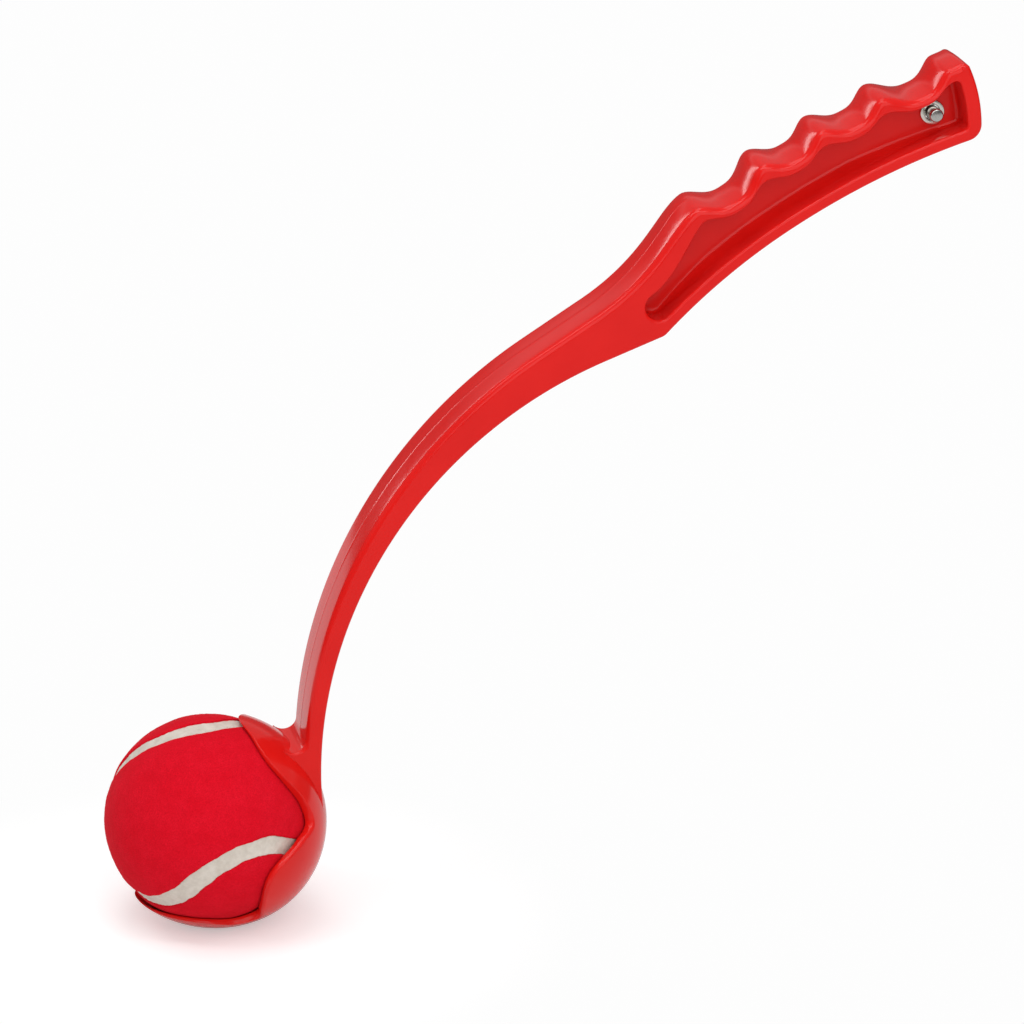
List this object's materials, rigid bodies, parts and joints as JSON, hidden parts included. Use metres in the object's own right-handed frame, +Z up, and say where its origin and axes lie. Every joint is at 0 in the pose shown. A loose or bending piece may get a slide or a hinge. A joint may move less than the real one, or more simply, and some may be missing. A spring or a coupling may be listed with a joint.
{
  "type": "dog ball thrower",
  "caption": "Curved plastic launcher with a finger-ridged pocketed grip, a hang post and a clasping cup that holds a felt-covered rubber ball.",
  "frame": {"origin": "middle of the hang post, on the launcher's mid-plane", "axes": "+Z up as the thrower is held, grip up and ball down; +X from the ball towards the grip; +Y across the width, the hang post's own axis and square to the launcher's mirror plane"},
  "size_m": [0.2725, 0.0643, 0.2648],
  "materials": {
    "launcher_plastic": "glossy moulded red polypropylene",
    "eyelet_nickel": "bright nickel plate",
    "post_steel": "turned and polished steel",
    "core_rubber": "matte moulded rubber",
    "ball_felt": "short-napped red felt",
    "seam_rubber": "matte off-white set rubber cement"
  },
  "bodies": {
    "launcher": {"launcher_moulding": "launcher_plastic", "post_eyelet": "eyelet_nickel", "lanyard_post": "post_steel"},
    "ball": {"core_half_a": "core_rubber", "core_half_b": "core_rubber", "felt_panel_a": "ball_felt", "felt_panel_b": "ball_felt", "seam_cement": "seam_rubber"}
  },
  "joints": [
    {"name": "ball_release", "type": "slide", "parent": "launcher", "child": "ball", "axis": [-0.866, 0, 0.5], "range_m": [0, 0.09]}
  ]
}
